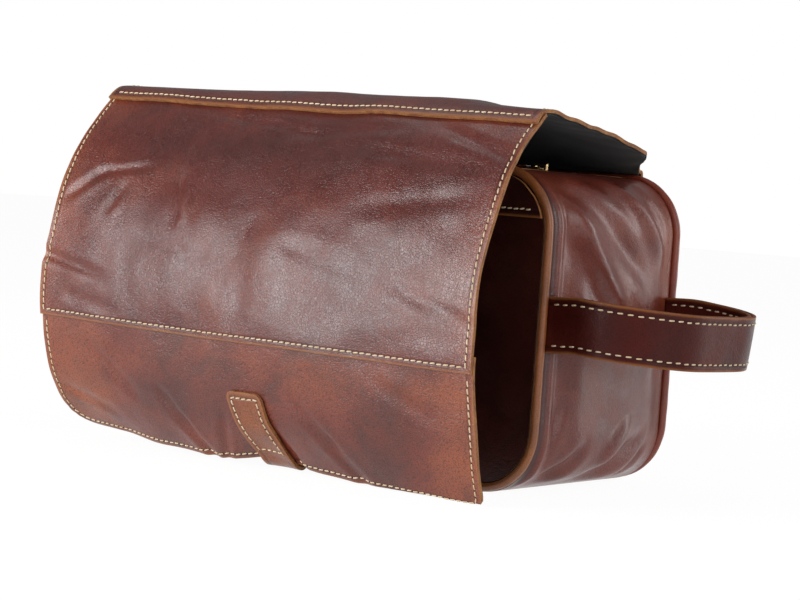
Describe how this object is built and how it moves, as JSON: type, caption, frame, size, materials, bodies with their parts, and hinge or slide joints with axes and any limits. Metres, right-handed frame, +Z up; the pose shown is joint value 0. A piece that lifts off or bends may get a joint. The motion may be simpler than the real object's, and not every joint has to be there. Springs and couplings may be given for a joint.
{
  "type": "wash bag",
  "caption": "Zipped leather wash bag with a wide curved flap, a tab that fastens under it and a carrying loop at one end.",
  "frame": {"origin": "middle of the pouch's flat base, on the surface that the bag stands on", "axes": "+X along the bag towards the carrying loop, +Y to the back, +Z up"},
  "size_m": [0.339, 0.1863, 0.1845],
  "materials": {
    "leather_flap": "glossy aniline leather, reddish brown with paler patches",
    "leather_body": "glossy aniline leather, reddish brown",
    "leather_dark": "glossy dark mahogany leather",
    "leather_piping": "waxed tan leather over a cord",
    "flap_lining": "black matt split leather",
    "lining_cloth": "black plain-weave lining",
    "zip_tape": "dark woven tape",
    "zip_metal": "aged brass"
  },
  "bodies": {
    "bag": {"front_panel_lower": "leather_body", "front_panel_upper": "leather_body", "back_panel": "leather_body", "gusset": "leather_body", "front_piping": "leather_piping", "rear_piping": "leather_piping", "top_strip_front": "leather_body", "top_strip_rear": "leather_body", "zip_tape_front": "zip_tape", "zip_tape_rear": "zip_tape", "zip_teeth_front": "zip_metal", "zip_teeth_rear": "zip_metal", "zip_end_stops": "zip_metal", "lining_front": "lining_cloth", "lining_back": "lining_cloth", "lining_gusset": "lining_cloth", "handle_end_front": "leather_dark", "handle_end_rear": "leather_dark", "stud_on_bag": "zip_metal"},
    "zip_slider": {"zip_slider": "zip_metal"},
    "zip_puller": {"zip_puller": "zip_metal", "zip_pull_tab": "leather_dark"},
    "handle": {"handle_outer": "leather_dark", "handle_inner": "leather_dark"},
    "flap_top": {"flap_top_panel": "leather_flap", "flap_lining_top": "flap_lining"},
    "flap_front": {"flap_middle_panel": "leather_flap", "flap_lining_upper": "flap_lining", "flap_bottom_panel": "leather_flap", "flap_lining_lower": "flap_lining", "closure_tab_upper": "leather_flap", "closure_tab_run": "leather_flap"},
    "closure_tab": {"closure_tab_end": "leather_flap", "stud_on_tab": "zip_metal"}
  },
  "joints": [
    {"name": "flap_lift", "type": "hinge", "parent": "bag", "child": "flap_top", "pos_m": [0, 0.0615, 0.1616], "axis": [-1, 0, 0], "range_deg": [0, 180]},
    {"name": "flap_fold", "type": "hinge", "parent": "flap_top", "child": "flap_front", "pos_m": [0, -0.076, 0.1845], "axis": [-1, 0, 0], "range_deg": [0, 90]},
    {"name": "tab_bend", "type": "hinge", "parent": "flap_front", "child": "closure_tab", "pos_m": [0, -0.0738, 0.0033], "axis": [1, 0, 0], "range_deg": [0, 40]},
    {"name": "zip_slide", "type": "slide", "parent": "bag", "child": "zip_slider", "axis": [-1, 0, 0], "range_m": [0, 0.1757]},
    {"name": "puller_lift", "type": "hinge", "parent": "zip_slider", "child": "zip_puller", "pos_m": [0.08785, 0, 0.15955], "axis": [0, 1, 0], "range_deg": [0, 18]},
    {"name": "handle_swing", "type": "hinge", "parent": "bag", "child": "handle", "pos_m": [0.15, 0, 0.0845], "axis": [0, -1, 0], "range_deg": [-45, 45]}
  ]
}
